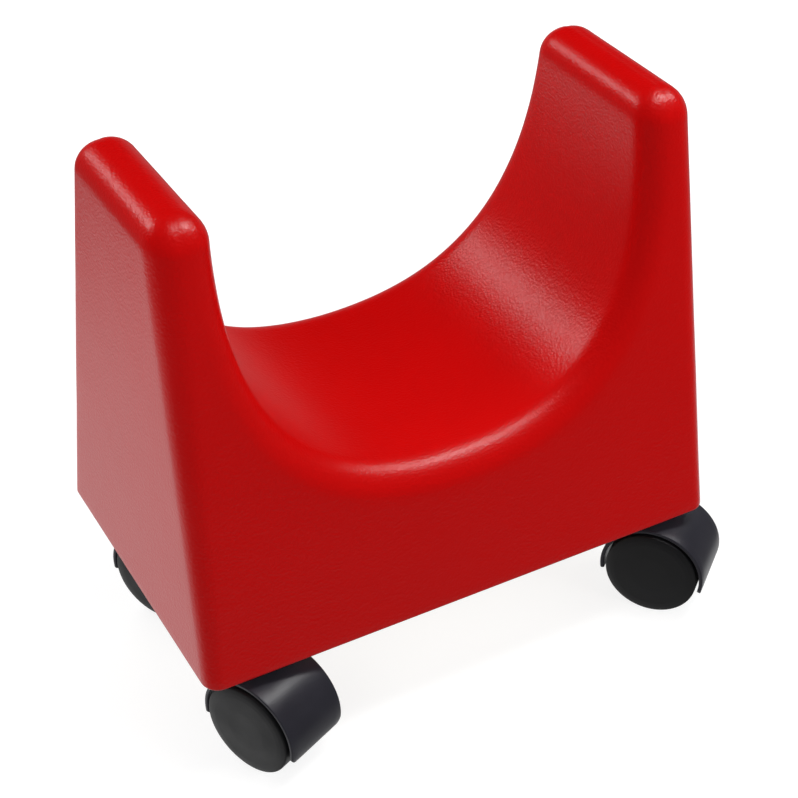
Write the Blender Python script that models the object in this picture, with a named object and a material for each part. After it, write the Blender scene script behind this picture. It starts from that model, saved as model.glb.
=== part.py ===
"""Rolling saddle stool: a moulded foam block with a U-shaped saddle, standing on four twin-wheel casters.

Units are metres, +Z is up and the floor is z = 0. X runs along the block from one horn to the other, and -Y is the front.
The origin is on the floor at the centre of the footprint, casters included, so the block's own middle sits at BLOCK_X.
"""

import math

import bmesh
import bpy
from mathutils import Matrix, Vector

for old in list(bpy.data.objects):
    bpy.data.objects.remove(old, do_unlink=True)

# ---------------------------------------------------------------- driving dimensions
BLOCK_X = -0.0074  # the block's middle, measured from the centre of the whole footprint
UNDERSIDE_Z = 0.0598  # floor to the underside of the block

BLOCK_L = 0.290  # along X at the underside
BLOCK_W = 0.179  # along Y at the underside
BLOCK_H = 0.229  # underside to the top of the horns
END_DRAFT = 0.025  # each end wall leans in by this much per metre of height
SIDE_DRAFT = 0.176  # each side wall leans in by this much per metre of height
EDGE_R_TOP = 0.014  # rounding of the rim, the horns and the upper corners
EDGE_R_BASE = 0.009  # rounding of the upright corners at the underside

SADDLE_LOW = 0.0787  # underside to the lowest line of the saddle
SADDLE_FLAT = 0.0898  # Bezier handle length along the saddle's bottom
SADDLE_MOUTH = 0.1088  # half the opening between the horns, at their tops
SADDLE_STEEP = 0.0880  # Bezier handle length down the horn's inner wall
SADDLE_LEAN = math.radians(-4.0)  # the inner wall's lean at the top

BOARD_L, BOARD_W, BOARD_T, BOARD_R = 0.276, 0.162, 0.012, 0.010
GAP = 0.0003  # between pieces that touch

SWIVEL_X, SWIVEL_Y = 0.1157, 0.0615  # swivel axes, from the block's middle
TRAIL = 0.0191  # axle behind the swivel axis
WHEEL_R = 0.025
WHEEL_SIDES = 28
WHEEL_IN, WHEEL_OUT = 0.0079, 0.0208  # inner edge and outer face, from the caster's mid plane
SHELL_R_IN, SHELL_R_OUT, SHELL_HALF = 0.0263, 0.0284, 0.0186
SHELL_FRONT, SHELL_TAIL = -12.5, 195.5  # the hood's two ends, degrees about the axle from straight ahead
PIN_R, BORE_R = 0.0040, 0.00415
AXLE_R, AXLE_HALF = 0.0030, 0.0168
PLATE, PLATE_T, PLATE_HOLE = 0.038, 0.0020, 0.0145  # side, thickness, half the screw pitch
SCREW_R = 0.0017

# name, side of the block (x, y), heading of the axle's outer end in degrees from +X
CASTERS = (
    ("front_left", -1, -1, -156.5),
    ("front_right", 1, -1, -141.5),
    ("rear_left", -1, 1, -150.5),
    ("rear_right", 1, 1, 27.0),
)

# ---------------------------------------------------------------- materials


def material(name, colour, roughness, metallic=0.0):
    made = bpy.data.materials.new(name)
    made.use_nodes = True
    shader = made.node_tree.nodes["Principled BSDF"]
    shader.inputs["Base Color"].default_value = (*colour, 1.0)
    shader.inputs["Roughness"].default_value = roughness
    shader.inputs["Metallic"].default_value = metallic
    return made


RED = material("red_foam_skin", (0.52, 0.008, 0.008), 0.42)
PLY = material("birch_plywood", (0.56, 0.40, 0.24), 0.7)
BLACK = material("black_nylon_hood", (0.020, 0.020, 0.023), 0.38)
WHEEL = material("black_nylon_wheel", (0.022, 0.022, 0.024), 0.5)
ZINC = material("zinc_plate", (0.62, 0.63, 0.65), 0.35, 1.0)
STEEL = material("bright_steel", (0.55, 0.55, 0.56), 0.28, 1.0)
SPRING = material("spring_steel", (0.10, 0.10, 0.11), 0.35, 1.0)

# ---------------------------------------------------------------- mesh helpers


def mesh_from(name, verts, faces):
    """A mesh with doubled points joined, faces that collapsed dropped, and its faces turned outwards."""
    mesh = bpy.data.meshes.new(name)
    mesh.from_pydata([tuple(v) for v in verts], [], faces)
    work = bmesh.new()
    work.from_mesh(mesh)
    bmesh.ops.remove_doubles(work, verts=work.verts, dist=1e-6)
    bmesh.ops.dissolve_degenerate(work, edges=work.edges, dist=1e-7)
    bmesh.ops.recalc_face_normals(work, faces=work.faces)
    work.to_mesh(mesh)
    work.free()
    return mesh


def revolve(name, profile, sides, turn=0.0):
    """A turned solid about +Z from (radius, z) points. The first and last points lie on the axis."""
    verts, rings = [], []
    for r, z in profile:
        if r < 1e-9:
            rings.append([len(verts)])
            verts.append((0, 0, z))
            continue
        rings.append(list(range(len(verts), len(verts) + sides)))
        for k in range(sides):
            a = turn + 2 * math.pi * k / sides
            verts.append((r * math.cos(a), r * math.sin(a), z))
    faces = []
    for low, high in zip(rings, rings[1:]):
        for k in range(sides):
            n = (k + 1) % sides
            quad = [low[k % len(low)], low[n % len(low)], high[n % len(high)], high[k % len(high)]]
            face = list(dict.fromkeys(quad))
            if len(face) > 2:
                faces.append(face)
    return mesh_from(name, verts, faces)


def tube_ring(name, profile, sides, turn=0.0):
    """A turned solid about +Z from a closed loop of (radius, z) points that stays clear of the axis."""
    verts, faces, count = [], [], len(profile)
    for r, z in profile:
        for k in range(sides):
            a = turn + 2 * math.pi * k / sides
            verts.append((r * math.cos(a), r * math.sin(a), z))
    for i in range(count):
        j = (i + 1) % count
        for k in range(sides):
            n = (k + 1) % sides
            faces.append([i * sides + k, i * sides + n, j * sides + n, j * sides + k])
    return mesh_from(name, verts, faces)


def extrude(name, outline, low, high, axis="Z"):
    """A prism from a closed outline. Along Z the outline is (x, y); along Y it is (x, z)."""
    work = bmesh.new()
    if axis == "Z":
        points = [work.verts.new((a, b, low)) for a, b in outline]
    else:
        points = [work.verts.new((a, low, b)) for a, b in outline]
    face = work.faces.new(points)
    grown = bmesh.ops.extrude_face_region(work, geom=[face])
    moved = [g for g in grown["geom"] if isinstance(g, bmesh.types.BMVert)]
    along = Vector((0, 0, high - low)) if axis == "Z" else Vector((0, high - low, 0))
    bmesh.ops.translate(work, verts=moved, vec=along)
    bmesh.ops.recalc_face_normals(work, faces=work.faces)
    mesh = bpy.data.meshes.new(name)
    work.to_mesh(mesh)
    work.free()
    return mesh


def circle(cx, cy, r, sides, turn=0.0):
    return [
        (cx + r * math.cos(turn + 2 * math.pi * k / sides), cy + r * math.sin(turn + 2 * math.pi * k / sides))
        for k in range(sides)
    ]


def rounded_rectangle(half_x, half_y, r, steps=4):
    points = []
    for cx, cy, start in ((1, 1, 0), (-1, 1, 90), (-1, -1, 180), (1, -1, 270)):
        for k in range(steps + 1):
            a = math.radians(start + 90 * k / steps)
            points.append((cx * (half_x - r) + r * math.cos(a), cy * (half_y - r) + r * math.sin(a)))
    return points


def merged(name, *meshes):
    """Separate bodies in one mesh, used as one cutter."""
    work = bmesh.new()
    for one in meshes:
        work.from_mesh(one)
    mesh = bpy.data.meshes.new(name)
    work.to_mesh(mesh)
    work.free()
    return mesh


def moved(mesh, matrix):
    copy = mesh.copy()
    copy.transform(matrix)
    return copy


def carve(name, base, steps):
    """The mesh of base after a run of exact Booleans: steps is ((operation, mesh), ...)."""
    body = bpy.data.objects.new(name, base)
    bpy.context.collection.objects.link(body)
    helpers = []
    for number, (operation, mesh) in enumerate(steps):
        helper = bpy.data.objects.new(f"{name}_tool_{number}", mesh)
        helper.hide_render = True
        helper.display_type = "WIRE"
        bpy.context.collection.objects.link(helper)
        helpers.append(helper)
        cut = body.modifiers.new(f"step_{number}", "BOOLEAN")
        cut.operation = operation
        cut.solver = "EXACT"
        cut.object = helper
    bpy.context.view_layer.update()
    done = bpy.data.meshes.new_from_object(body.evaluated_get(bpy.context.evaluated_depsgraph_get()))
    for one in [body, *helpers]:
        bpy.data.objects.remove(one, do_unlink=True)
    return done


def place(name, mesh, finish, parent=None, location=(0, 0, 0), rotation=(0, 0, 0), smooth=35):
    made = bpy.data.objects.new(name, mesh)
    bpy.context.collection.objects.link(made)
    made.parent = parent
    made.location = location
    made.rotation_euler = rotation
    if not mesh.materials:
        mesh.materials.append(finish)
    mesh.shade_smooth()
    mesh.set_sharp_from_angle(angle=math.radians(smooth))
    return made


def empty(name, parent=None, location=(0, 0, 0), rotation=(0, 0, 0)):
    made = bpy.data.objects.new(name, None)
    bpy.context.collection.objects.link(made)
    made.parent = parent
    made.location = location
    made.rotation_euler = rotation
    made.empty_display_size = 0.02
    return made


# ---------------------------------------------------------------- the moulded block


def half_width(z):
    return BLOCK_W / 2 - SIDE_DRAFT * z


def half_length(z):
    return BLOCK_L / 2 - END_DRAFT * z


def bezier(p0, p1, p2, p3, t):
    s = 1 - t
    point = [s**3 * a + 3 * s * s * t * b + 3 * s * t * t * c + t**3 * d for a, b, c, d in zip(p0, p1, p2, p3)]
    slope = [3 * s * s * (b - a) + 6 * s * t * (c - b) + 3 * t * t * (d - c) for a, b, c, d in zip(p0, p1, p2, p3)]
    return Vector(point), Vector(slope).normalized()


def saddle(t):
    """Point and direction on the saddle's right half: t = 0 at its lowest line, 1 at the horn's inner top."""
    return bezier(
        (0.0, SADDLE_LOW),
        (SADDLE_FLAT, SADDLE_LOW),
        (SADDLE_MOUTH - SADDLE_STEEP * math.sin(SADDLE_LEAN), BLOCK_H - SADDLE_STEEP * math.cos(SADDLE_LEAN)),
        (SADDLE_MOUTH, BLOCK_H),
        t,
    )


def block_outline():
    """The right half of the block seen from the front, from the saddle's lowest point round the horn to the underside.

    Each entry is (centre of the rim's rounding, outward direction, radius), in (x, z)."""
    rows, steps, arc = [], 18, 5
    r, top = EDGE_R_TOP, BLOCK_H - EDGE_R_TOP
    # the saddle, until the rounding's centre reaches the height of the horn's rounding
    low, high = 0.0, 1.0
    for _ in range(60):
        middle = (low + high) / 2
        point, way = saddle(middle)
        if (point + r * Vector((way.y, -way.x))).y < top:
            low = middle
        else:
            high = middle
    for k in range(steps + 1):
        point, way = saddle(low * k / steps)
        out = Vector((-way.y, way.x))
        rows.append((point - r * out, out, r))
    # over the horn: inner rounding, flat top, outer rounding
    centre, out, _ = rows[-1]
    start = math.atan2(out.y, out.x) % (2 * math.pi)
    for k in range(1, arc + 1):
        a = start + (math.pi / 2 - start) * k / arc
        rows.append((centre, Vector((math.cos(a), math.sin(a))), r))
    outer = Vector((half_length(top) - r, top))
    for k in range(arc + 1):
        a = math.pi / 2 * (1 - k / arc)
        rows.append((outer, Vector((math.cos(a), math.sin(a))), r))
    # down the end wall, the rounding growing tighter
    for z in (BLOCK_H * 0.45, 0.0):
        share = z / top
        radius = EDGE_R_BASE + (EDGE_R_TOP - EDGE_R_BASE) * share
        rows.append((Vector((half_length(z) - radius, z)), Vector((1.0, 0.0)), radius))
    return rows


def block_mesh():
    half = block_outline()
    loop = half + [(Vector((-c.x, c.y)), Vector((-n.x, n.y)), r) for c, n, r in reversed(half[1:])]
    steps = 4
    verts, faces = [], []
    rows = []
    for side in (-1, 1):
        for k in range(steps + 1):
            a = math.pi / 2 * (1 - k / steps) if side < 0 else math.pi / 2 * k / steps
            row = []
            for c, n, r in loop:
                p = c + n * (r * math.cos(a))
                y = side * (half_width(p.y) - r * (1 - math.sin(a)))
                row.append(len(verts))
                verts.append((p.x, y, p.y))
            rows.append(row)
    count = len(loop)
    for one, two in zip(rows, rows[1:]):
        for k in range(count):
            n = (k + 1) % count
            faces.append([one[k], one[n], two[n], two[k]])
    # the two side walls are flat: one face each, through the rounding's centres
    for row in (rows[0], rows[-1]):
        seen, face = [], []
        for index in row:
            where = Vector(verts[index])
            if not seen or (where - seen[-1]).length > 1e-6:
                seen.append(where)
                face.append(index)
        faces.append(face)
    return mesh_from("block", verts, faces)


root = empty("stool", location=(BLOCK_X, 0, UNDERSIDE_Z))

pocket = extrude(
    "pocket",
    rounded_rectangle(BOARD_L / 2 + GAP, BOARD_W / 2 + GAP, BOARD_R),
    -0.004,
    BOARD_T + GAP,
)
place("saddle_block", carve("saddle_block", block_mesh(), [("DIFFERENCE", pocket)]), RED, root, smooth=30)

# ---------------------------------------------------------------- plywood base board, let into the underside

screw_places = [
    (sx * SWIVEL_X + hx * PLATE_HOLE, sy * SWIVEL_Y + hy * PLATE_HOLE)
    for _, sx, sy, _ in CASTERS
    for hx in (-1, 1)
    for hy in (-1, 1)
]
board = extrude("board", rounded_rectangle(BOARD_L / 2, BOARD_W / 2, BOARD_R), 0.0, BOARD_T)
pilots = merged(
    "pilots",
    *[extrude("pilot", circle(x, y, SCREW_R + 0.0006, 8, math.pi / 8), -0.002, 0.0106) for x, y in screw_places],
)
place("base_board", carve("base_board", board, [("DIFFERENCE", pilots)]), PLY, root)

# ---------------------------------------------------------------- caster pieces, each modelled about its own swivel axis
# Local frame: origin on the floor under the swivel axis, +X ahead, the axle at x = -TRAIL along Y.

AXLE_Z = WHEEL_R
PLATE_TOP = UNDERSIDE_Z - GAP
PLATE_LOW = PLATE_TOP - PLATE_T


def caster_plate():
    plate = extrude("plate", rounded_rectangle(PLATE / 2, PLATE / 2, 0.004, 3), PLATE_LOW, PLATE_TOP)
    holes = [extrude("hole", circle(0, 0, 0.0033, 16), PLATE_LOW - 0.002, PLATE_TOP + 0.002)]
    for hx in (-1, 1):
        for hy in (-1, 1):
            holes.append(
                extrude(
                    "hole",
                    circle(hx * PLATE_HOLE, hy * PLATE_HOLE, SCREW_R + 0.0006, 10),
                    PLATE_LOW - 0.002,
                    PLATE_TOP + 0.002,
                )
            )
    return carve("plate", plate, [("DIFFERENCE", merged("holes", *holes))])


def swivel_pin():
    flange_top = PLATE_LOW - GAP
    return revolve(
        "pin",
        [
            (0, 0.0260),
            (0.0033, 0.0260),
            (PIN_R, 0.0267),
            (PIN_R, 0.0272),
            (0.0030, 0.0272),
            (0.0030, 0.0284),
            (PIN_R, 0.0284),
            (PIN_R, flange_top - 0.0010),
            (0.0060, flange_top - 0.0010),
            (0.0060, flange_top),
            (0.0030, flange_top),
            (0.0030, PLATE_TOP - 0.0001),
            (0, PLATE_TOP - 0.0001),
        ],
        16,
    )


def retaining_clip():
    """A flat open ring that snaps into the pin's groove."""
    outer, inner, opening = 0.0060, 0.00325, math.radians(46)
    sweep = [opening / 2 + (2 * math.pi - opening) * k / 12 for k in range(13)]
    outline = [(outer * math.cos(a), outer * math.sin(a)) for a in sweep]
    outline += [(inner * math.cos(a), inner * math.sin(a)) for a in reversed(sweep)]
    return extrude("clip", outline, 0.02735, 0.02825)


def hood():
    def arc(r, start, end, steps):
        return [
            (
                -TRAIL + r * math.cos(math.radians(start + (end - start) * k / steps)),
                AXLE_Z + r * math.sin(math.radians(start + (end - start) * k / steps)),
            )
            for k in range(steps + 1)
        ]

    shell = extrude(
        "shell",
        arc(SHELL_R_OUT, SHELL_FRONT, SHELL_TAIL, 22) + arc(SHELL_R_IN, SHELL_TAIL, SHELL_FRONT, 22),
        -SHELL_HALF,
        SHELL_HALF,
        "Y",
    )
    web = extrude(
        "web",
        arc(0.0271, 40, 178, 12) + [(-0.040, 0.0230), (-0.027, 0.0205), (-0.0085, 0.0205), (-0.0085, 0.0306), (-0.002, 0.0306)],
        -0.0025,
        0.0025,
        "Y",
    )
    boss = extrude("boss", circle(0, 0, 0.0068, 18), 0.0292, 0.0557)
    axle_boss = moved(
        extrude("axle_boss", circle(0, 0, 0.0060, 16), -0.0072, 0.0072),
        Matrix.Translation((-TRAIL, 0, AXLE_Z)) @ Matrix.Rotation(math.pi / 2, 4, "X"),
    )
    bore = extrude("bore", circle(0, 0, BORE_R, 18), 0.0270, 0.0570)
    axle_hole = moved(
        extrude("axle_hole", circle(0, 0, AXLE_R + GAP, 16), -0.0090, 0.0090),
        Matrix.Translation((-TRAIL, 0, AXLE_Z)) @ Matrix.Rotation(math.pi / 2, 4, "X"),
    )
    return carve(
        "hood",
        shell,
        [("UNION", web), ("UNION", boss), ("UNION", axle_boss), ("DIFFERENCE", bore), ("DIFFERENCE", axle_hole)],
    )


def axle():
    return revolve(
        "axle",
        [(0, -AXLE_HALF), (AXLE_R, -AXLE_HALF), (AXLE_R, AXLE_HALF), (0, AXLE_HALF)],
        16,
    )


def wheel():
    """A nylon cup: tread, domed outer face and a blind hub. Turned about +Z, its outer face towards +Z, its flats touching the floor."""
    rim = WHEEL_R / math.cos(math.pi / WHEEL_SIDES)
    hub = (AXLE_R + 0.00008) / math.cos(math.pi / WHEEL_SIDES)
    return revolve(
        "wheel",
        [
            (0, WHEEL_OUT),
            (0.0120, WHEEL_OUT - 0.0002),
            (0.0215, WHEEL_OUT - 0.0006),
            (0.0240, WHEEL_OUT - 0.0012),
            (rim, WHEEL_OUT - 0.0024),
            (rim, WHEEL_IN),
            (0.0226, WHEEL_IN),
            (0.0222, 0.0180),
            (0.0062, 0.0182),
            (0.0060, WHEEL_IN - 0.0003),
            (hub, WHEEL_IN - 0.0003),
            (hub, 0.0172),
            (0, 0.0172),
        ],
        WHEEL_SIDES,
        math.pi / WHEEL_SIDES,
    )


def screw():
    """A pan-head wood screw, its shank up +Z from the seat of its head at z = 0."""
    tip = UNDERSIDE_Z + 0.0102 - (PLATE_LOW - GAP)
    return revolve(
        "screw",
        [(0, -0.0016), (0.0026, -0.0013), (0.0035, 0.0), (SCREW_R, 0.0), (SCREW_R, tip - 0.002), (0, tip)],
        10,
    )


plate_mesh, pin_mesh, clip_mesh, hood_mesh = caster_plate(), swivel_pin(), retaining_clip(), hood()
axle_mesh, wheel_mesh, screw_mesh = axle(), wheel(), screw()

for name, sx, sy, heading in CASTERS:
    # fixed to the block: plate, pin, clip and screws
    station = empty(f"{name}_station", root, (sx * SWIVEL_X, sy * SWIVEL_Y, -UNDERSIDE_Z))
    place(f"{name}_mounting_plate", plate_mesh, ZINC, station)
    place(f"{name}_swivel_pin", pin_mesh, STEEL, station)
    place(f"{name}_retaining_clip", clip_mesh, SPRING, station)
    for number, (hx, hy) in enumerate(((-1, -1), (1, -1), (1, 1), (-1, 1)), 1):
        place(
            f"{name}_screw_{number}",
            screw_mesh,
            ZINC,
            station,
            (hx * PLATE_HOLE, hy * PLATE_HOLE, PLATE_LOW - GAP),
        )
    # turns about the swivel axis: hood and axle. The local +Y end of the axle points along the heading.
    swivel = empty(f"{name}_swivel", station, rotation=(0, 0, math.radians(heading - 90)))
    place(f"{name}_hood", hood_mesh, BLACK, swivel)
    place(f"{name}_axle", axle_mesh, STEEL, swivel, (-TRAIL, 0, AXLE_Z), (math.pi / 2, 0, 0))
    # each wheel turns on the axle by itself
    for which, flip in (("outer", -1), ("inner", 1)):
        place(
            f"{name}_wheel_{which}",
            wheel_mesh,
            WHEEL,
            swivel,
            (-TRAIL, 0, AXLE_Z),
            (flip * math.pi / 2, 0, 0),
        )
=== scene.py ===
"""Looks for the rolling saddle stool: the moulded red block, its board, and its four twin-wheel casters.

Metres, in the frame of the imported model: the floor is z = 0, X runs along the block and -Y is the front.
"""

import math

import bmesh
import bpy
from mathutils import Matrix, Quaternion, Vector, noise
from mathutils.geometry import delaunay_2d_cdt


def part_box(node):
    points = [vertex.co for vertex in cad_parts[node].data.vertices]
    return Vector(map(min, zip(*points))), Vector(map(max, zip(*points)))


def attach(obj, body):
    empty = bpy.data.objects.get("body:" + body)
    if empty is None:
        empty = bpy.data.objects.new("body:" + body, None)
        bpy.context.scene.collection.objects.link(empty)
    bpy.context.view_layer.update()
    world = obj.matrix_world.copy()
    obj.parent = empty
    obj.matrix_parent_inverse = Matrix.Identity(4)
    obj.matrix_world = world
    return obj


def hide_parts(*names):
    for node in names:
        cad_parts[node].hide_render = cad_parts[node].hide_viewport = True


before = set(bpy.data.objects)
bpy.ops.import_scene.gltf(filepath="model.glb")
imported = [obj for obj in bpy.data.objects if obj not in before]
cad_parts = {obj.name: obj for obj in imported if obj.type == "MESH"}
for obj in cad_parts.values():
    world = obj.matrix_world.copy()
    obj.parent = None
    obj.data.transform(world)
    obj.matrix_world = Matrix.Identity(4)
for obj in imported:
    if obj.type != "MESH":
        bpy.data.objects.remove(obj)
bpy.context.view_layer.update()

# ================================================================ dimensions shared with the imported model
block_low, block_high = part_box("saddle_block")
BLOCK_X = (block_low.x + block_high.x) / 2
UNDERSIDE_Z = block_low.z
BLOCK_L, BLOCK_W, BLOCK_H = 0.290, 0.179, 0.229
END_DRAFT, SIDE_DRAFT = 0.025, 0.176
EDGE_R_TOP, EDGE_R_BASE = 0.014, 0.009
SADDLE_LOW, SADDLE_FLAT, SADDLE_MOUTH, SADDLE_STEEP = 0.0787, 0.0898, 0.1088, 0.0880
SADDLE_LEAN = math.radians(-4.0)
BOARD_L, BOARD_W, BOARD_T, BOARD_R = 0.276, 0.162, 0.012, 0.010
GAP = 0.0003
FOOT = 0.0018  # rounding along the block's lower edge

SWIVEL_X, SWIVEL_Y, TRAIL = 0.1157, 0.0615, 0.0191
WHEEL_R, AXLE_Z = 0.025, 0.025
WHEEL_IN, WHEEL_OUT = 0.0079, 0.0208
SHELL_R_IN, SHELL_R_OUT, SHELL_HALF = 0.0263, 0.0284, 0.0186
SHELL_FRONT, SHELL_TAIL = -12.5, 195.5
PIN_R, BORE_R = 0.0040, 0.00415
AXLE_R, AXLE_HALF = 0.0030, 0.0168
PLATE, PLATE_T, PLATE_HOLE = 0.038, 0.0020, 0.0145
PLATE_TOP = UNDERSIDE_Z - GAP
PLATE_LOW = PLATE_TOP - PLATE_T
SCREW_R = 0.0017
CASTERS = (
    ("front_left", -1, -1, -156.5),
    ("front_right", 1, -1, -141.5),
    ("rear_left", -1, 1, -150.5),
    ("rear_right", 1, 1, 27.0),
)

# ================================================================ node helpers


class Nodes:
    """A material with a Principled shader, and short ways to add and link nodes."""

    def __init__(self, name):
        self.material = bpy.data.materials.new(name)
        self.material.use_nodes = True
        self.tree = self.material.node_tree
        self.shader = self.tree.nodes["Principled BSDF"]
        self.coords = self.tree.nodes.new("ShaderNodeTexCoord").outputs["Object"]

    def set(self, **values):
        for key, value in values.items():
            socket = self.shader.inputs[key.replace("_", " ")]
            socket.default_value = (*value, 1.0) if hasattr(value, "__len__") and len(value) == 3 else value
        return self

    def link(self, source, target):
        self.tree.links.new(source, target)

    def add(self, kind, inputs=None, **settings):
        node = self.tree.nodes.new(kind)
        for key, value in settings.items():
            setattr(node, key, value)
        for key, value in (inputs or {}).items():
            socket = node.inputs[key]
            if isinstance(value, bpy.types.NodeSocket):
                self.link(value, socket)
            else:
                socket.default_value = value
        return node

    def scaled(self, scale, where=None):
        node = self.add("ShaderNodeMapping", {"Vector": where or self.coords})
        node.inputs["Scale"].default_value = scale
        return node.outputs["Vector"]

    def noise(self, scale, detail=2.0, roughness=0.5, where=None, distortion=0.0):
        return self.add(
            "ShaderNodeTexNoise",
            {
                "Vector": where or self.coords,
                "Scale": scale,
                "Detail": detail,
                "Roughness": roughness,
                "Distortion": distortion,
            },
        )

    def math(self, operation, a, b=0.0, clamp=False):
        return self.add("ShaderNodeMath", {0: a, 1: b}, operation=operation, use_clamp=clamp).outputs[0]

    def ramp(self, value, low, high, to_low=0.0, to_high=1.0):
        return self.add(
            "ShaderNodeMapRange",
            {"Value": value, "From Min": low, "From Max": high, "To Min": to_low, "To Max": to_high},
            clamp=True,
        ).outputs["Result"]

    def mix(self, factor, a, b):
        node = self.add("ShaderNodeMix", data_type="RGBA")
        for index, value in ((0, factor), (6, a), (7, b)):
            if isinstance(value, bpy.types.NodeSocket):
                self.link(value, node.inputs[index])
            elif index:
                node.inputs[index].default_value = (*value, 1.0)
            else:
                node.inputs[index].default_value = value
        return node.outputs[2]

    def bump(self, height, distance, strength=1.0, normal=None):
        node = self.add("ShaderNodeBump", {"Height": height, "Distance": distance, "Strength": strength})
        if normal is not None:
            self.link(normal, node.inputs["Normal"])
        return node.outputs["Normal"]


# ================================================================ materials


def red_skin():
    """Glossy-matt polyurethane skin with a fine leather grain of short wandering creases."""
    m = Nodes("moulded_red_skin").set(Roughness=0.30, IOR=1.5, Metallic=0.0)
    wander = m.noise(110.0, 0.0, 0.5)
    shifted = m.add(
        "ShaderNodeVectorMath",
        {
            0: m.coords,
            1: m.add(
                "ShaderNodeVectorMath", {0: wander.outputs["Color"], 3: 0.0018}, operation="SCALE"
            ).outputs[0],
        },
        operation="ADD",
    ).outputs[0]
    creases = m.add("ShaderNodeTexVoronoi", {"Vector": shifted, "Scale": 700.0, "Randomness": 1.0}, feature="F1")
    stretched = m.scaled((430.0, 980.0, 700.0), shifted)
    long_creases = m.add(
        "ShaderNodeTexNoise", {"Vector": stretched, "Scale": 1.0, "Detail": 2.0, "Roughness": 0.55, "Distortion": 0.6}
    ).outputs["Fac"]
    fine = m.noise(1900.0, 2.0, 0.6).outputs["Fac"]
    cell = m.ramp(creases.outputs["Distance"], 0.0, 1.0)
    grain = m.math("ADD", m.math("MULTIPLY", cell, 0.65), m.math("MULTIPLY", long_creases, 0.75))
    grain = m.math("ADD", grain, m.math("MULTIPLY", fine, 0.18))
    # colour: broad unevenness only
    broad = m.noise(14.0, 3.0, 0.55).outputs["Fac"]
    patch = m.ramp(broad, 0.0, 1.0)
    colour = m.mix(patch, (0.610, 0.0021, 0.0022), (0.655, 0.0026, 0.0026))
    m.link(colour, m.shader.inputs["Base Color"])
    m.link(m.bump(grain, 0.00024, 0.60), m.shader.inputs["Normal"])
    return m.material


def moulded_black(name, colour, rough_low, rough_high, bump):
    """Black nylon, slightly textured from the mould, with faint scuffs."""
    m = Nodes(name).set(IOR=1.5)
    texture = m.noise(1500.0, 3.0, 0.6).outputs["Fac"]
    broad = m.noise(60.0, 3.0, 0.5).outputs["Fac"]
    scuff_noise = m.noise(1.0, 4.0, 0.7, m.scaled((900.0, 160.0, 300.0)), 1.5).outputs["Fac"]
    scuffs = m.ramp(scuff_noise, 0.64, 0.78)
    base = m.mix(m.ramp(broad, 0.3, 0.7), tuple(c * 0.92 for c in colour), tuple(c * 1.1 for c in colour))
    base = m.mix(m.math("MULTIPLY", scuffs, 0.22), base, tuple(c * 2.4 for c in colour))
    m.link(base, m.shader.inputs["Base Color"])
    rough = m.ramp(broad, 0.3, 0.7, rough_low, rough_high)
    m.link(m.math("ADD", rough, m.math("MULTIPLY", scuffs, 0.10)), m.shader.inputs["Roughness"])
    m.link(m.bump(texture, 0.00006, bump), m.shader.inputs["Normal"])
    return m.material


def plated(name, colour, roughness):
    """Bright zinc or steel, with a fine brushed and mottled finish."""
    m = Nodes(name).set(Metallic=1.0)
    spangle = m.add("ShaderNodeTexVoronoi", {"Vector": m.coords, "Scale": 260.0}, feature="F1").outputs["Color"]
    tone = m.add("ShaderNodeSeparateColor", {"Color": spangle}).outputs["Red"]
    scratches = m.noise(1.0, 3.0, 0.6, m.scaled((2600.0, 120.0, 900.0))).outputs["Fac"]
    m.link(m.mix(tone, tuple(c * 0.88 for c in colour), tuple(min(1.0, c * 1.06) for c in colour)), m.shader.inputs["Base Color"])
    rough = m.ramp(scratches, 0.3, 0.7, roughness * 0.8, roughness * 1.3)
    m.link(rough, m.shader.inputs["Roughness"])
    m.link(m.bump(scratches, 0.00002, 0.6), m.shader.inputs["Normal"])
    return m.material


def birch_ply():
    """Rotary-cut birch face veneer, the grain along X, with the plies showing on the edges."""
    m = Nodes("birch_plywood_face").set(Roughness=0.62)
    figure = m.noise(1.0, 5.0, 0.62, m.scaled((9.0, 60.0, 60.0)), 1.2).outputs["Fac"]
    pores = m.noise(1.0, 3.0, 0.7, m.scaled((70.0, 1900.0, 1900.0))).outputs["Fac"]
    colour = m.mix(m.ramp(figure, 0.35, 0.65), (0.70, 0.50, 0.29), (0.55, 0.36, 0.19))
    colour = m.mix(m.ramp(pores, 0.58, 0.72, 0.0, 0.45), colour, (0.36, 0.21, 0.10))
    plies = m.add(
        "ShaderNodeTexWave", {"Vector": m.coords, "Scale": 108.0, "Distortion": 0.4}, wave_type="BANDS", bands_direction="Z"
    ).outputs["Fac"]
    edge = m.add("ShaderNodeNewGeometry").outputs["Normal"]
    upright = m.math("ABSOLUTE", m.add("ShaderNodeSeparateXYZ", {"Vector": edge}).outputs["Z"])
    edge_colour = m.mix(m.ramp(plies, 0.35, 0.65), (0.62, 0.43, 0.25), (0.34, 0.20, 0.11))
    m.link(m.mix(m.ramp(upright, 0.3, 0.7), edge_colour, colour), m.shader.inputs["Base Color"])
    m.link(m.ramp(figure, 0.3, 0.7, 0.55, 0.7), m.shader.inputs["Roughness"])
    m.link(m.bump(pores, 0.0001, 0.5), m.shader.inputs["Normal"])
    return m.material


RED = red_skin()
HOOD = moulded_black("black_nylon_hood_finish", (0.0290, 0.0280, 0.0365), 0.31, 0.38, 0.5)
WHEEL = moulded_black("black_nylon_wheel_finish", (0.0115, 0.0115, 0.0125), 0.46, 0.56, 0.6)
ZINC = plated("zinc_plated_steel", (0.60, 0.61, 0.63), 0.34)
STEEL = plated("bright_turned_steel", (0.56, 0.56, 0.57), 0.24)
SPRING = plated("dark_spring_steel", (0.11, 0.11, 0.12), 0.34)
PLY = birch_ply()

# ================================================================ mesh helpers


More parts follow.
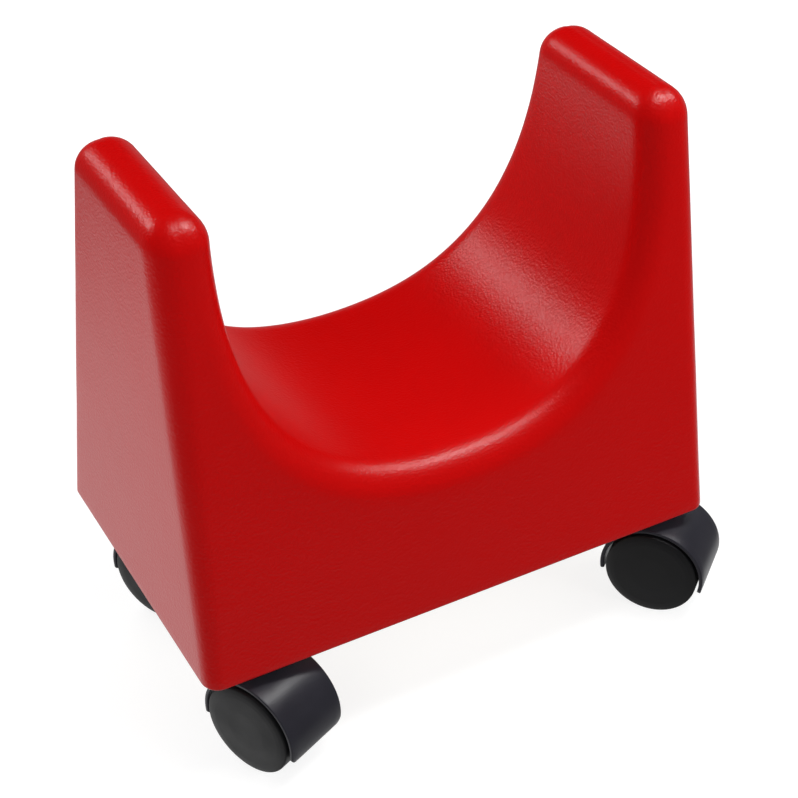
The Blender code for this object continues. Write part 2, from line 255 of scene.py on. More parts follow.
def clean(name, verts, faces, weld=2e-6):
    mesh = bpy.data.meshes.new(name)
    mesh.from_pydata([tuple(v) for v in verts], [], faces)
    work = bmesh.new()
    work.from_mesh(mesh)
    bmesh.ops.remove_doubles(work, verts=work.verts, dist=weld)
    bmesh.ops.dissolve_degenerate(work, edges=work.edges, dist=1e-7)
    bmesh.ops.recalc_face_normals(work, faces=work.faces)
    work.to_mesh(mesh)
    work.free()
    return mesh


def turned(name, profile, sides, turn=0.0):
    """A turned solid about +Z from (radius, z) points, the first and the last on the axis."""
    verts, rings = [], []
    for r, z in profile:
        if r < 1e-9:
            rings.append([len(verts)])
            verts.append((0, 0, z))
            continue
        rings.append(list(range(len(verts), len(verts) + sides)))
        for k in range(sides):
            a = turn + 2 * math.pi * k / sides
            verts.append((r * math.cos(a), r * math.sin(a), z))
    faces = []
    for low, high in zip(rings, rings[1:]):
        for k in range(sides):
            n = (k + 1) % sides
            face = list(dict.fromkeys([low[k % len(low)], low[n % len(low)], high[n % len(high)], high[k % len(high)]]))
            if len(face) > 2:
                faces.append(face)
    return clean(name, verts, faces)


def rounded(points, radii, steps=4):
    """A closed or open run of (a, b) points with the corners that have a radius rounded. Ends keep their place."""
    made = []
    for k, (here, r) in enumerate(zip(points, radii)):
        if r <= 0 or k in (0, len(points) - 1):
            made.append(tuple(here))
            continue
        p, q, s = Vector(points[k - 1]), Vector(here), Vector(points[k + 1])
        u, w = (p - q).normalized(), (s - q).normalized()
        angle = math.acos(max(-1.0, min(1.0, u.dot(w))))
        cut = min(r / math.tan(angle / 2), (p - q).length * 0.49, (s - q).length * 0.49)
        start, end = q + u * cut, q + w * cut
        for j in range(steps + 1):
            t = j / steps
            made.append(tuple((1 - t) ** 2 * start + 2 * t * (1 - t) * q + t * t * end))
    return made


def prism(name, outline, low, high):
    work = bmesh.new()
    face = work.faces.new([work.verts.new((a, b, low)) for a, b in outline])
    grown = bmesh.ops.extrude_face_region(work, geom=[face])
    bmesh.ops.translate(work, verts=[g for g in grown["geom"] if isinstance(g, bmesh.types.BMVert)], vec=(0, 0, high - low))
    bmesh.ops.recalc_face_normals(work, faces=work.faces)
    mesh = bpy.data.meshes.new(name)
    work.to_mesh(mesh)
    work.free()
    return mesh


def ring_outline(cx, cy, r, sides, turn=0.0):
    return [
        (cx + r * math.cos(turn + 2 * math.pi * k / sides), cy + r * math.sin(turn + 2 * math.pi * k / sides))
        for k in range(sides)
    ]


def plate_outline(half_x, half_y, r, steps=6):
    points = []
    for cx, cy, start in ((1, 1, 0), (-1, 1, 90), (-1, -1, 180), (1, -1, 270)):
        for k in range(steps + 1):
            a = math.radians(start + 90 * k / steps)
            points.append((cx * (half_x - r) + r * math.cos(a), cy * (half_y - r) + r * math.sin(a)))
    return points


def joined(name, *meshes):
    work = bmesh.new()
    for one in meshes:
        work.from_mesh(one)
    mesh = bpy.data.meshes.new(name)
    work.to_mesh(mesh)
    work.free()
    return mesh


def moved(mesh, matrix):
    copy = mesh.copy()
    copy.transform(matrix)
    return copy


def carved(name, base, steps, bevel=0.0, segments=2, angle=40):
    """base after a run of exact Booleans, its sharp edges then eased by a small bevel."""
    body = bpy.data.objects.new(name, base)
    bpy.context.scene.collection.objects.link(body)
    helpers = []
    for number, (operation, mesh) in enumerate(steps):
        helper = bpy.data.objects.new(f"{name}_tool_{number}", mesh)
        helper.hide_render = True
        bpy.context.scene.collection.objects.link(helper)
        helpers.append(helper)
        cut = body.modifiers.new(f"step_{number}", "BOOLEAN")
        cut.operation, cut.solver, cut.object = operation, "EXACT", helper
    if bevel:
        ease = body.modifiers.new("ease", "BEVEL")
        ease.width, ease.segments, ease.limit_method = bevel, segments, "ANGLE"
        ease.angle_limit = math.radians(angle)
        ease.use_clamp_overlap = True
        ease.harden_normals = False
    bpy.context.view_layer.update()
    done = bpy.data.meshes.new_from_object(body.evaluated_get(bpy.context.evaluated_depsgraph_get()))
    for one in [body, *helpers]:
        bpy.data.objects.remove(one, do_unlink=True)
    done.name = name
    return done


def show(name, mesh, finish, body, replaces, matrix=None, smooth=35):
    """A shown piece: placed in the row frame, riding on a body, standing for its CAD node."""
    mesh.materials.clear()
    mesh.materials.append(finish)
    made = bpy.data.objects.new(name, mesh)
    bpy.context.scene.collection.objects.link(made)
    if matrix is not None:
        made.matrix_world = matrix
    mesh.shade_smooth()
    mesh.set_sharp_from_angle(angle=math.radians(smooth))
    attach(made, body)
    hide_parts(*([replaces] if isinstance(replaces, str) else replaces))
    return made


# ================================================================ the moulded block


def half_width(z):
    return BLOCK_W / 2 - SIDE_DRAFT * z


def half_length(z):
    return BLOCK_L / 2 - END_DRAFT * z


def saddle(t):
    """Point and direction on the saddle's right half, from its lowest line to the horn's inner top, in (x, z)."""
    p = (
        (0.0, SADDLE_LOW),
        (SADDLE_FLAT, SADDLE_LOW),
        (SADDLE_MOUTH - SADDLE_STEEP * math.sin(SADDLE_LEAN), BLOCK_H - SADDLE_STEEP * math.cos(SADDLE_LEAN)),
        (SADDLE_MOUTH, BLOCK_H),
    )
    s = 1 - t
    point = [s**3 * a + 3 * s * s * t * b + 3 * s * t * t * c + t**3 * d for a, b, c, d in zip(*p)]
    slope = [3 * s * s * (b - a) + 6 * s * t * (c - b) + 3 * t * t * (d - c) for a, b, c, d in zip(*p)]
    return Vector(point), Vector(slope).normalized()


def block_rows():
    """The right half of the block's outline as (centre of the rim's rounding, outward direction, radius)."""
    rows, r, top = [], EDGE_R_TOP, BLOCK_H - EDGE_R_TOP
    low, high = 0.0, 1.0
    for _ in range(60):
        middle = (low + high) / 2
        point, way = saddle(middle)
        if (point + r * Vector((way.y, -way.x))).y < top:
            low = middle
        else:
            high = middle
    for k in range(65):
        point, way = saddle(low * k / 64)
        out = Vector((-way.y, way.x))
        rows.append((point - r * out, out, r))
    centre, out, _ = rows[-1]
    start = math.atan2(out.y, out.x) % (2 * math.pi)
    for k in range(1, 13):
        a = start + (math.pi / 2 - start) * k / 12
        rows.append((centre, Vector((math.cos(a), math.sin(a))), r))
    lean = math.atan(END_DRAFT)
    face = Vector((math.cos(lean), math.sin(lean)))
    outer = Vector((half_length(top), top)) - r * face
    rows.append(((centre + outer) / 2, Vector((0.0, 1.0)), r))
    for k in range(15):
        a = math.pi / 2 + (lean - math.pi / 2) * k / 14
        rows.append((outer, Vector((math.cos(a), math.sin(a))), r))
    for k in range(1, 49):
        z = top + (FOOT - top) * k / 48
        radius = EDGE_R_BASE + (EDGE_R_TOP - EDGE_R_BASE) * z / top
        tilt = lean * (z - FOOT) / (top - FOOT)
        normal = Vector((math.cos(tilt), math.sin(tilt)))
        rows.append((Vector((half_length(z), z)) - radius * normal, normal, radius))
    return rows


RIM, RAIL, FRONT = 10, 26, 66  # divisions round the rim, across the block, and along its lower edge


def across(row):
    """The points of one row from the front wall over the rim and across to the rear wall."""
    c, n, r = row
    points = []
    for k in range(RIM, -1, -1):
        a = math.pi / 2 * k / RIM
        p = c + n * (r * math.cos(a))
        points.append(Vector((p.x, -(half_width(p.y) - r * (1 - math.sin(a))), p.y)))
    p = c + n * r
    reach = half_width(p.y) - r
    for k in range(1, RAIL):
        points.append(Vector((p.x, reach * (2 * k / RAIL - 1), p.y)))
    for k in range(RIM + 1):
        a = math.pi / 2 * k / RIM
        p = c + n * (r * math.cos(a))
        points.append(Vector((p.x, half_width(p.y) - r * (1 - math.sin(a)), p.y)))
    return points


def wall_fill(boundary, step):
    """Triangles over a flat wall from its (x, z) boundary, on a lattice of the given step."""
    loop = []
    for p in boundary:
        if not loop or (p - loop[-1]).length > 1e-6:
            loop.append(p)
    if (loop[0] - loop[-1]).length < 1e-6:
        loop.pop()
    count = len(loop)
    low_x, high_x = min(p.x for p in loop), max(p.x for p in loop)
    low_z, high_z = min(p.y for p in loop), max(p.y for p in loop)
    points = list(loop)
    rows = int((high_z - low_z) / (step * 0.866)) + 1
    for j in range(1, rows):
        z = low_z + (high_z - low_z) * j / rows
        cuts = []
        for k in range(count):
            a, b = loop[k], loop[(k + 1) % count]
            if (a.y > z) != (b.y > z):
                cuts.append(a.x + (b.x - a.x) * (z - a.y) / (b.y - a.y))
        cuts.sort()
        for left, right in zip(cuts[::2], cuts[1::2]):
            x = low_x + (0.5 * step if j % 2 else 0.0)
            while x < right - step * 0.55:
                if x > left + step * 0.55:
                    p = Vector((x, z))
                    if min((p - q).length_squared for q in loop) > (0.55 * step) ** 2:
                        points.append(p)
                x += step
    made, _, faces, *_ = delaunay_2d_cdt(points, [], [list(range(count))], 1, 1e-7)
    return made, faces


def block_mesh():
    half = block_rows()
    loop = [(Vector((-c.x, c.y)), Vector((-n.x, n.y)), r) for c, n, r in reversed(half[1:])] + half
    verts, faces = [], []

    def grid(rows):
        start = len(verts)
        width = len(rows[0])
        for row in rows:
            verts.extend(row)
        for i in range(len(rows) - 1):
            for j in range(width - 1):
                a = start + i * width + j
                faces.append([a, a + 1, a + width + 1, a + width])

    grid([across(row) for row in loop])

    # the two flat walls
    left, right = loop[0][0].x, loop[-1][0].x
    sill = [left + (right - left) * k / FRONT for k in range(FRONT + 1)]
    boundary = [Vector((c.x, c.y)) for c, _, _ in loop] + [Vector((x, FOOT)) for x in reversed(sill[1:-1])]
    points, triangles = wall_fill(boundary, 0.0044)
    for side in (-1, 1):
        start = len(verts)
        verts.extend(Vector((p.x, side * half_width(p.y), p.y)) for p in points)
        faces.extend([start + k for k in face] for face in triangles)

    # the lower edge, the underside's rim and the pocket that the board sits in
    def ring(half_x, half_y, r, z):
        """All round in plan: the right end, the rear, the left end and the front."""
        points = []
        for sx, sy in ((1, 1), (-1, -1)):
            cx, cy = half_x - r, half_y - r
            for k in range(RIM, 0, -1):
                a = math.pi / 2 * k / RIM
                points.append((sx * (cx + r * math.cos(a)), -sy * (cy + r * math.sin(a)), z))
            for k in range(RAIL + 1):
                points.append((sx * (cx + r), sy * cy * (2 * k / RAIL - 1), z))
            for k in range(1, RIM + 1):
                a = math.pi / 2 * k / RIM
                points.append((sx * (cx + r * math.cos(a)), sy * (cy + r * math.sin(a)), z))
            for k in range(1, FRONT):
                points.append((sx * cx * (1 - 2 * k / FRONT), sy * half_y, z))
        return [Vector(p) for p in points]

    rings = []
    foot_r = loop[-1][2]
    for k in range(7):
        b = math.pi / 2 * k / 6
        z, inset = FOOT * (1 - math.sin(b)), FOOT * (1 - math.cos(b))
        rings.append(ring(half_length(z) - inset, half_width(z) - inset, foot_r - inset, z))
    pocket_x, pocket_y = BOARD_L / 2 + GAP, BOARD_W / 2 + GAP
    rings.append(ring(pocket_x + 0.0007, pocket_y + 0.0007, BOARD_R + 0.0007, 0.0))
    rings.append(ring(pocket_x + 0.0002, pocket_y + 0.0002, BOARD_R + 0.0002, 0.0002))
    rings.append(ring(pocket_x, pocket_y, BOARD_R, 0.0007))
    rings.append(ring(pocket_x, pocket_y, BOARD_R, BOARD_T + GAP))
    start, count = len(verts), len(rings[0])
    for one in rings:
        verts.extend(one)
    for i in range(len(rings) - 1):
        for j in range(count):
            n = (j + 1) % count
            a = start + i * count
            faces.append([a + j, a + n, a + count + n, a + count + j])
    last = start + (len(rings) - 1) * count
    ceiling = [Vector((v.x, v.y)) for v in verts[last : last + count]]
    cap, cap_faces, *_ = (lambda got: (got[0], got[2]))(
        delaunay_2d_cdt(ceiling, [], [list(range(count))], 1, 1e-7)
    )
    start = len(verts)
    verts.extend(Vector((p.x, p.y, BOARD_T + GAP)) for p in cap)
    faces.extend([start + k for k in face] for face in cap_faces)

    mesh = clean("saddle_block_skin", verts, faces, 4e-6)
    # a moulded skin is never quite even: broad shallow swells, fading out towards the underside
    mesh.calc_loop_triangles()
    normals = [v.normal.copy() for v in mesh.vertices]
    for v, n in zip(mesh.vertices, normals):
        p = v.co
        if p.z < 0.004:
            continue
        share = min(1.0, (p.z - 0.004) / 0.02)
        swell = 0.00010 * noise.noise(p * 24.0 + Vector((3.1, 7.7, 1.3))) + 0.00005 * noise.noise(p * 60.0 + Vector((9.4, 2.2, 5.8)))
        v.co = p + n * (swell * share - 0.00008 * share)
    return mesh


block = show(
    "saddle_block_skin",
    block_mesh(),
    RED,
    "block",
    "saddle_block",
    Matrix.Translation((BLOCK_X, 0, UNDERSIDE_Z)),
    smooth=50,
)

# ================================================================ the plywood board

screw_places = [
    (sx * SWIVEL_X + hx * PLATE_HOLE, sy * SWIVEL_Y + hy * PLATE_HOLE)
    for _, sx, sy, _ in CASTERS
    for hx in (-1, 1)
    for hy in (-1, 1)
]
pilots = joined(
    "pilots", *[moved(turned("pilot", [(0, -0.002), (SCREW_R + 0.0006, -0.002), (SCREW_R + 0.0006, 0.0106), (0, 0.0112)], 20), Matrix.Translation((x, y, 0))) for x, y in screw_places]
)
board_mesh = carved(
    "base_board_ply", prism("board", plate_outline(BOARD_L / 2, BOARD_W / 2, BOARD_R, 8), 0.0, BOARD_T), [("DIFFERENCE", pilots)], 0.0004, 2
)
show("base_board_ply", board_mesh, PLY, "block", "base_board", Matrix.Translation((BLOCK_X, 0, UNDERSIDE_Z)), smooth=30)

# ================================================================ caster pieces, about the swivel axis
# Local frame: origin on the floor under the swivel axis, +X ahead, the axle at x = -TRAIL along Y.


def hood_shell():
    """The curved cover over both wheels, a bent plate whose section is eased and whose ends close round."""
    corner_tail, corner_front = 0.0046, 0.0016
    half_t = (SHELL_R_OUT - SHELL_R_IN) / 2
    middle = (SHELL_R_OUT + SHELL_R_IN) / 2
    ease = 0.0006
    length = middle * math.radians(SHELL_TAIL - SHELL_FRONT)
    stations = []
    # distances along the bend: closely spaced near both ends
    for k in range(8):
        stations.append(corner_front * (1 - math.cos(math.pi / 2 * k / 8)))
    body = 84
    for k in range(body + 1):
        stations.append(corner_front + (length - corner_front - corner_tail) * k / body)
    for k in range(1, 11):
        stations.append(length - corner_tail * (1 - math.sin(math.pi / 2 * k / 10)))
    verts, count = [], None
    rows = []
    for s in stations:
        half = SHELL_HALF
        if s < corner_front:
            d = corner_front - s
            half -= corner_front - math.sqrt(max(0.0, corner_front**2 - d * d))
        if s > length - corner_tail:
            d = s - (length - corner_tail)
            half -= corner_tail - math.sqrt(max(0.0, corner_tail**2 - d * d))
        # the ends thin to a rounded edge
        end = min(s, length - s)
        soft = 0.0011 if s < length / 2 else 0.0007
        thick = half_t if end > soft else max(1e-4, half_t * (1 - 0.75 * (1 - math.sqrt(max(0.0, 1 - (1 - end / soft) ** 2)))))
        r = min(ease, thick * 0.9)
        section = []
        for cy, ct, start in ((1, 1, 0), (-1, 1, 90), (-1, -1, 180), (1, -1, 270)):
            for k in range(4):
                a = math.radians(start + 90 * k / 3)
                section.append((cy * (half - r) + r * math.cos(a), ct * (thick - r) + r * math.sin(a)))
            if cy == ct == 1 or (cy == ct == -1):
                # points across the broad faces, so that they bend evenly
                side = 1 if cy == 1 else -1
                for k in range(1, 8):
                    section.append((side * (half - r) * (1 - 2 * k / 8), side * thick))
        a = math.radians(SHELL_FRONT) + s / middle
        row = []
        for y, t in section:
            row.append(len(verts))
            radius = middle + t
            verts.append((-TRAIL + radius * math.cos(a), y, AXLE_Z + radius * math.sin(a)))
        rows.append(row)
    faces = []
    for one, two in zip(rows, rows[1:]):
        for k in range(len(one)):
            n = (k + 1) % len(one)
            faces.append([one[k], one[n], two[n], two[k]])
    faces.append(rows[0])
    faces.append(list(reversed(rows[-1])))
    return clean("hood_shell", verts, faces, 1e-6)


def flat_outline(name, outline, low, high):
    """A prism along Y from an (x, z) outline."""
    mesh = prism(name, outline, low, high)
    mesh.transform(Matrix(((1, 0, 0, 0), (0, 0, 1, 0), (0, 1, 0, 0), (0, 0, 0, 1))))
    mesh.flip_normals()
    return mesh


def about_axle(mesh):
    return moved(mesh, Matrix.Translation((-TRAIL, 0, AXLE_Z)) @ Matrix.Rotation(math.pi / 2, 4, "X"))


def hood_mesh():
    def arc(r, start, end, steps):
        return [
            (
                -TRAIL + r * math.cos(math.radians(start + (end - start) * k / steps)),
                AXLE_Z + r * math.sin(math.radians(start + (end - start) * k / steps)),
            )
            for k in range(steps + 1)
        ]

    web = flat_outline(
        "web",
        arc(0.0271, 40, 178, 28) + [(-0.040, 0.0230), (-0.027, 0.0205), (-0.0085, 0.0205), (-0.0085, 0.0306), (-0.002, 0.0306)],
        -0.0025,
        0.0025,
    )
    boss = turned("boss", [(0, 0.0292), (0.0062, 0.0292), (0.0068, 0.0298), (0.0068, 0.0551), (0.0062, 0.0557), (0, 0.0557)], 40)
    axle_boss = about_axle(
        turned("axle_boss", [(0, -0.0072), (0.0055, -0.0072), (0.0060, -0.0067), (0.0060, 0.0067), (0.0055, 0.0072), (0, 0.0072)], 32)
    )
    bore = turned("bore", [(0, 0.0270), (BORE_R, 0.0270), (BORE_R, 0.0570), (0, 0.0570)], 32)
    hole = about_axle(turned("hole", [(0, -0.009), (AXLE_R + GAP, -0.009), (AXLE_R + GAP, 0.009), (0, 0.009)], 28))
    return carved(
        "hood", hood_shell(), [("UNION", web), ("UNION", boss), ("UNION", axle_boss), ("DIFFERENCE", bore), ("DIFFERENCE", hole)]
    )


def wheel_mesh():
    """A nylon cup wheel: a slightly crowned tread, a domed face with a shallow rim step, ribs behind and a blind hub."""
    face = WHEEL_OUT
    bore = AXLE_R + 0.00008
    profile = rounded(
        [
            (0, face),
            (0.0110, face - 0.00015),
            (0.0200, face - 0.00050),
            (0.0222, face - 0.00075),
            (0.0250, face - 0.0013),
            (0.0250, WHEEL_IN),
            (0.0226, WHEEL_IN),
            (0.0222, 0.0180),
            (0.0062, 0.0182),
            (0.0060, WHEEL_IN - 0.0003),
            (bore, WHEEL_IN - 0.0003),
            (bore, 0.0172),
            (0, 0.0172),
        ],
        [0, 0.01, 0.01, 0.004, 0.0011, 0.0006, 0.0005, 0.0008, 0.0008, 0.0003, 0.0003, 0, 0],
        5,
    )
    body = turned("wheel_cup", profile, 96)
    ribs = []
    for k in range(6):
        rib = flat_outline("rib", [(0.0055, 0.0110), (0.0224, 0.0110), (0.0224, 0.0185), (0.0055, 0.0185)], -0.0006, 0.0006)
        ribs.append(moved(rib, Matrix.Rotation(2 * math.pi * k / 6, 4, "Z")))
    return carved("wheel", body, [("UNION", joined("ribs", *ribs))])


def pin_mesh():
    flange_top = PLATE_LOW - GAP
    points = [
        (0, 0.0260),
        (0.0033, 0.0260),
        (PIN_R, 0.0267),
        (PIN_R, 0.0272),
        (0.0030, 0.0272),
        (0.0030, 0.0284),
        (PIN_R, 0.0284),
        (PIN_R, flange_top - 0.0010),
        (0.0060, flange_top - 0.0010),
        (0.0060, flange_top),
        (0.0030, flange_top),
        (0.0030, PLATE_TOP - 0.0001),
        (0, PLATE_TOP - 0.0001),
    ]
    return turned("pin", rounded(points, [0, 0.0003, 0.0003, 0, 0, 0, 0.0002, 0.0003, 0.0003, 0.0003, 0.0002, 0.0002, 0], 3), 48)


def clip_mesh():
    outer, inner, opening = 0.0060, 0.00325, math.radians(46)
    sweep = [opening / 2 + (2 * math.pi - opening) * k / 48 for k in range(49)]
    outline = [(outer * math.cos(a), outer * math.sin(a)) for a in sweep]
    outline += [(inner * math.cos(a), inner * math.sin(a)) for a in reversed(sweep)]
    return carved("clip", prism("clip", outline, 0.02735, 0.02825), [], 0.00012, 2)


def axle_mesh():
    points = [(0, -AXLE_HALF), (AXLE_R, -AXLE_HALF), (AXLE_R, AXLE_HALF), (0, AXLE_HALF)]
    return turned("axle", rounded(points, [0, 0.0004, 0.0004, 0], 4), 48)


def plate_mesh():
    holes = [turned("hole", [(0, PLATE_LOW - 0.002), (0.0033, PLATE_LOW - 0.002), (0.0033, PLATE_TOP + 0.002), (0, PLATE_TOP + 0.002)], 36)]
    for hx in (-1, 1):
        for hy in (-1, 1):
            hole = turned(
                "hole",
                [(0, PLATE_LOW - 0.002), (SCREW_R + 0.0006, PLATE_LOW - 0.002), (SCREW_R + 0.0006, PLATE_TOP + 0.002), (0, PLATE_TOP + 0.002)],
                28,
            )
            holes.append(moved(hole, Matrix.Translation((hx * PLATE_HOLE, hy * PLATE_HOLE, 0))))
    return carved(
        "plate", prism("plate", plate_outline(PLATE / 2, PLATE / 2, 0.004, 6), PLATE_LOW, PLATE_TOP), [("DIFFERENCE", joined("holes", *holes))], 0.0003, 2
    )


def screw_mesh():
    """A pan-head wood screw with a cross recess, its shank up +Z from the seat of the head at z = 0."""
    tip = UNDERSIDE_Z + 0.0102 - (PLATE_LOW - GAP)
    points = [(0, -0.0016), (0.0021, -0.00150), (0.0032, -0.0009), (0.0035, 0.0), (SCREW_R, 0.0)]
    radii = [0, 0.001, 0.0008, 0.0001, 0.0001]
    # thread: shallow ridges, each a ring
    z = 0.0016
    while z < tip - 0.0028:
        points += [(0.00125, z), (SCREW_R - 0.00002, z + 0.0004), (0.00125, z + 0.0008)]
        radii += [0, 0, 0]
        z += 0.0011
    points += [(0.00125, tip - 0.0022), (0, tip)]
    radii += [0, 0]
    body = turned("screw", rounded(points, radii, 3), 28)
    slots = []
    for turn in (0, math.pi / 2):
        slot = flat_outline("slot", [(-0.0017, -0.0024), (0.0017, -0.0024), (0.0010, -0.0004), (-0.0010, -0.0004)], -0.00032, 0.00032)
        slots.append(("DIFFERENCE", moved(slot, Matrix.Rotation(turn, 4, "Z"))))
    return carved("screw", body, slots)


meshes = {
    "plate": plate_mesh(),
    "pin": pin_mesh(),
    "clip": clip_mesh(),
    "hood": hood_mesh(),
    "axle": axle_mesh(),
    "wheel": wheel_mesh(),
    "screw": screw_mesh(),
}

for name, sx, sy, heading in CASTERS:
    station = Matrix.Translation((BLOCK_X + sx * SWIVEL_X, sy * SWIVEL_Y, 0))
    show(f"{name}_plate_zinc", meshes["plate"].copy(), ZINC, "block", f"{name}_mounting_plate", station)
    show(f"{name}_pin_steel", meshes["pin"].copy(), STEEL, "block", f"{name}_swivel_pin", station)
    show(f"{name}_clip_spring", meshes["clip"].copy(), SPRING, "block", f"{name}_retaining_clip", station)
    for number, (hx, hy) in enumerate(((-1, -1), (1, -1), (1, 1), (-1, 1)), 1):
        turn = Matrix.Rotation(math.radians(37 * number + 20 * sx), 4, "Z")
        at = station @ Matrix.Translation((hx * PLATE_HOLE, hy * PLATE_HOLE, PLATE_LOW - GAP)) @ turn
        show(f"{name}_screw_{number}_zinc", meshes["screw"].copy(), ZINC, "block", f"{name}_screw_{number}", at)
    swivel = station @ Matrix.Rotation(math.radians(heading - 90), 4, "Z")
    show(f"{name}_hood_nylon", meshes["hood"].copy(), HOOD, f"{name}_caster", f"{name}_hood", swivel, smooth=32)
    centre = swivel @ Matrix.Translation((-TRAIL, 0, AXLE_Z))
    show(f"{name}_axle_steel", meshes["axle"].copy(), STEEL, f"{name}_caster", f"{name}_axle", centre @ Matrix.Rotation(math.pi / 2, 4, "X"))
    for which, flip in (("outer", -1), ("inner", 1)):
        show(
            f"{name}_{which}_wheel_nylon",
            meshes["wheel"].copy(),
            WHEEL,
            f"{name}_{which}_wheel",
            f"{name}_wheel_{which}",
            centre @ Matrix.Rotation(flip * math.pi / 2, 4, "X"),
            smooth=32,
        )

# ================================================================ floor, light and camera


def floor():
    mesh = bpy.data.meshes.new("studio_floor")
    mesh.from_pydata([(-6, -6, 0), (6, -6, 0), (6, 6, 0), (-6, 6, 0)], [], [(0, 1, 2, 3)])
    m = Nodes("pale_studio_floor").set(Roughness=0.9)
    tone = m.noise(3.0, 2.0, 0.5).outputs["Fac"]
    m.link(m.mix(m.ramp(tone, 0.3, 0.7), (0.29, 0.29, 0.29), (0.31, 0.31, 0.31)), m.shader.inputs["Base Color"])
    m.shader.inputs["Specular IOR Level"].default_value = 0.0
    m.shader.inputs["Emission Color"].default_value = (1.0, 1.0, 1.0, 1.0)
    away = m.add("ShaderNodeVectorMath", {0: m.coords}, operation="LENGTH").outputs["Value"]
    m.link(m.ramp(away, 0.3, 0.9, FLOOR_GLOW, 1.0), m.shader.inputs["Emission Strength"])
    mesh.materials.append(m.material)
    made = bpy.data.objects.new("studio_floor", mesh)
    bpy.context.scene.collection.objects.link(made)
    # The bounce from below comes from the world, which this plane would otherwise hide from the stool.
    made.visible_glossy = made.visible_diffuse = made.visible_shadow = False


def softbox(name, way, distance, size, power, seen_in_gloss=True, turn=0.0):
    """A rectangular light in direction `way` from the middle of the stool, facing it, turned about that direction."""
    light = bpy.data.lights.new(name, "AREA")
    light.shape = "RECTANGLE"
    light.size, light.size_y = size
    light.energy = power
    made = bpy.data.objects.new(name, light)
    bpy.context.scene.collection.objects.link(made)
    way = Vector(way).normalized()
    made.location = Vector((0.0, 0.0, 0.15)) + way * distance
    made.rotation_mode = "QUATERNION"
    made.rotation_quaternion = (-way).to_track_quat("-Z", "Y") @ Quaternion((0.0, 0.0, 1.0), math.radians(turn))
    made.visible_camera = False
    made.visible_glossy = seen_in_gloss
    light.cycles.use_multiple_importance_sampling = seen_in_gloss
    return made


def studio():
    """Pale surroundings: a bright sweep low down at the back, a dimmer one in front, a soft room above."""
    world = bpy.data.worlds.new("studio")
    bpy.context.scene.world = world
    world.use_nodes = True
    tree = world.node_tree
    for node in list(tree.nodes):
        tree.nodes.remove(node)

    def add(kind, **settings):
        node = tree.nodes.new(kind)
        for key, value in settings.items():
            setattr(node, key, value)
        return node

    def maths(operation, a, b=0.0, clamp=False):
        node = add("ShaderNodeMath", operation=operation, use_clamp=clamp)
        for index, value in ((0, a), (1, b)):
            if isinstance(value, bpy.types.NodeSocket):
                tree.links.new(value, node.inputs[index])
            else:
                node.inputs[index].default_value = value
        return node.outputs[0]

    def smooth(value, low, high, to_low=0.0, to_high=1.0):
        node = add("ShaderNodeMapRange", interpolation_type="SMOOTHSTEP")
        tree.links.new(value, node.inputs["Value"])
        for key, number in (("From Min", low), ("From Max", high), ("To Min", to_low), ("To Max", to_high)):
            node.inputs[key].default_value = number
        return node.outputs["Result"]

    way = add("ShaderNodeTexCoord").outputs["Generated"]
    parts = add("ShaderNodeSeparateXYZ")
    tree.links.new(way, parts.inputs[0])
    x, y, z = parts.outputs
    below = smooth(z, -0.42, -0.56)
    above = smooth(z, -0.02, 0.22)
    level = maths("MULTIPLY", maths("SUBTRACT", 1.0, below), maths("SUBTRACT", 1.0, above))
    back = smooth(y, -0.2, 0.35)
    front = maths("SUBTRACT", 1.0, back)
    level_back = smooth(x, -0.2, 0.2, LEVEL_BACK_LEFT, LEVEL_BACK_RIGHT)
    value = maths("MULTIPLY", below, smooth(y, -0.2, 0.35, BELOW_FRONT, BELOW_BACK))
    level_light = maths("ADD", maths("MULTIPLY", back, level_back), maths("MULTIPLY", front, LEVEL_FRONT))
    value = maths("ADD", value, maths("MULTIPLY", level, level_light))
    value = maths("ADD", value, maths("MULTIPLY", above, smooth(y, -0.2, 0.35, ABOVE_FRONT, ABOVE_BACK)))
    seen = add("ShaderNodeLightPath").outputs["Is Camera Ray"]
    value = maths("ADD", maths("MULTIPLY", value, maths("SUBTRACT", 1.0, seen)), seen)
    shade = add("ShaderNodeBackground")
    tree.links.new(value, shade.inputs["Strength"])
    shade.inputs["Color"].default_value = (1.0, 1.0, 1.0, 1.0)
    out = add("ShaderNodeOutputWorld")
    tree.links.new(shade.outputs[0], out.inputs["Surface"])


FLOOR_GLOW = 0.82
BELOW_BACK, BELOW_FRONT = 0.89, 0.28
LEVEL_BACK_RIGHT, LEVEL_BACK_LEFT, LEVEL_FRONT = 0.21, 0.085, 0.04
ABOVE_BACK, ABOVE_FRONT = 0.0, 0.03

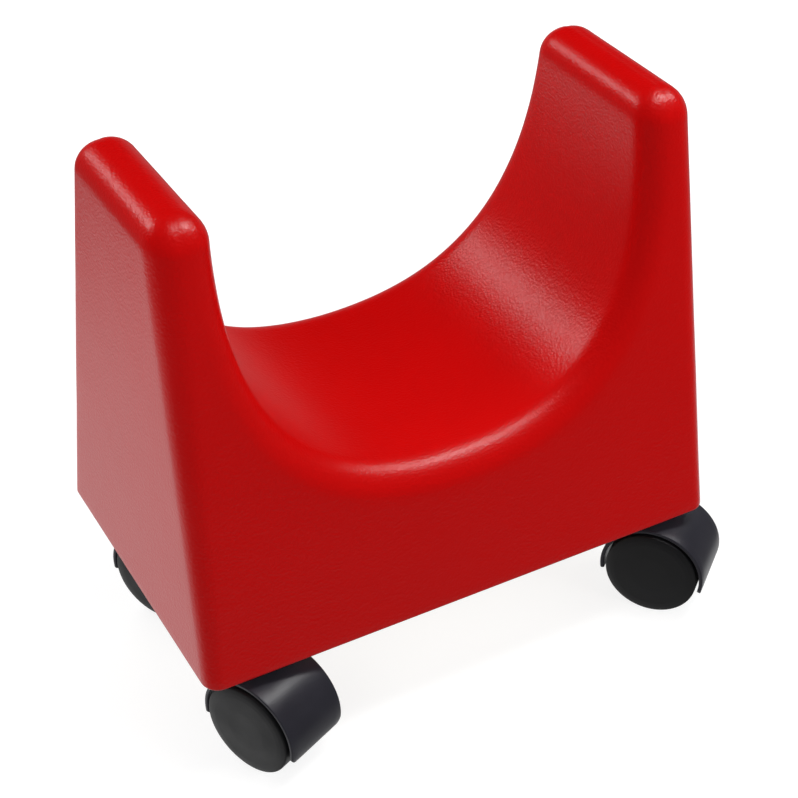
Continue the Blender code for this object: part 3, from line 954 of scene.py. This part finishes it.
floor()
studio()
softbox("overhead", (0.395, -0.165, 0.903), 1.7, (0.3, 0.3), 2.7)
softbox("overhead_strip", (0.42, -0.14, 0.9), 1.7, (0.22, 1.7), 11.5, turn=27.0)
softbox("back_left", (-0.5, 0.7, 0.5), 1.7, (0.5, 0.34), 2.3)
softbox("back_left_core", (-0.5, 0.7, 0.5), 1.7, (0.3, 0.25), 2.1)
softbox("fill_top", (-0.1, 0.0, 1.0), 1.8, (1.4, 1.4), 1.6, False)
softbox("fill_front_left", (-0.7, -0.6, 0.4), 1.8, (1.0, 1.0), 10.4, False)
softbox("fill_front_right", (0.7, -0.7, 0.35), 1.1, (0.7, 0.7), 5.2, False)
softbox("fill_left", (-1.0, 0.1, 0.35), 1.8, (1.2, 1.0), 5.4, False)
softbox("fill_right", (1.0, 0.0, 0.5), 1.8, (1.2, 1.0), 2.4, False)
softbox("fill_back", (-0.1, 1.0, 0.5), 1.8, (1.2, 1.0), 17.0, False)


def camera():
    """Seen from the front left and above, with a long lens."""
    azimuth, elevation, roll = math.radians(-29.452), math.radians(36.49), math.radians(0.523)
    target, distance = Vector((-0.007525, -0.011363, 0.131761)), 0.902287
    back = Vector((math.sin(azimuth) * math.cos(elevation), -math.cos(azimuth) * math.cos(elevation), math.sin(elevation)))
    right = Vector((math.cos(azimuth), math.sin(azimuth), 0.0))
    above = back.cross(right)
    across_view = math.cos(roll) * right + math.sin(roll) * above
    up_view = -math.sin(roll) * right + math.cos(roll) * above
    data = bpy.data.cameras.new("camera")
    data.lens, data.sensor_width = 80.197, 36.0
    data.clip_start, data.clip_end = 0.05, 50.0
    made = bpy.data.objects.new("camera", data)
    bpy.context.scene.collection.objects.link(made)
    place = target + back * distance
    made.matrix_world = Matrix(
        (
            (across_view.x, up_view.x, back.x, place.x),
            (across_view.y, up_view.y, back.y, place.y),
            (across_view.z, up_view.z, back.z, place.z),
            (0, 0, 0, 1),
        )
    )
    bpy.context.scene.camera = made


camera()
bpy.context.scene.view_settings.view_transform = "Standard"
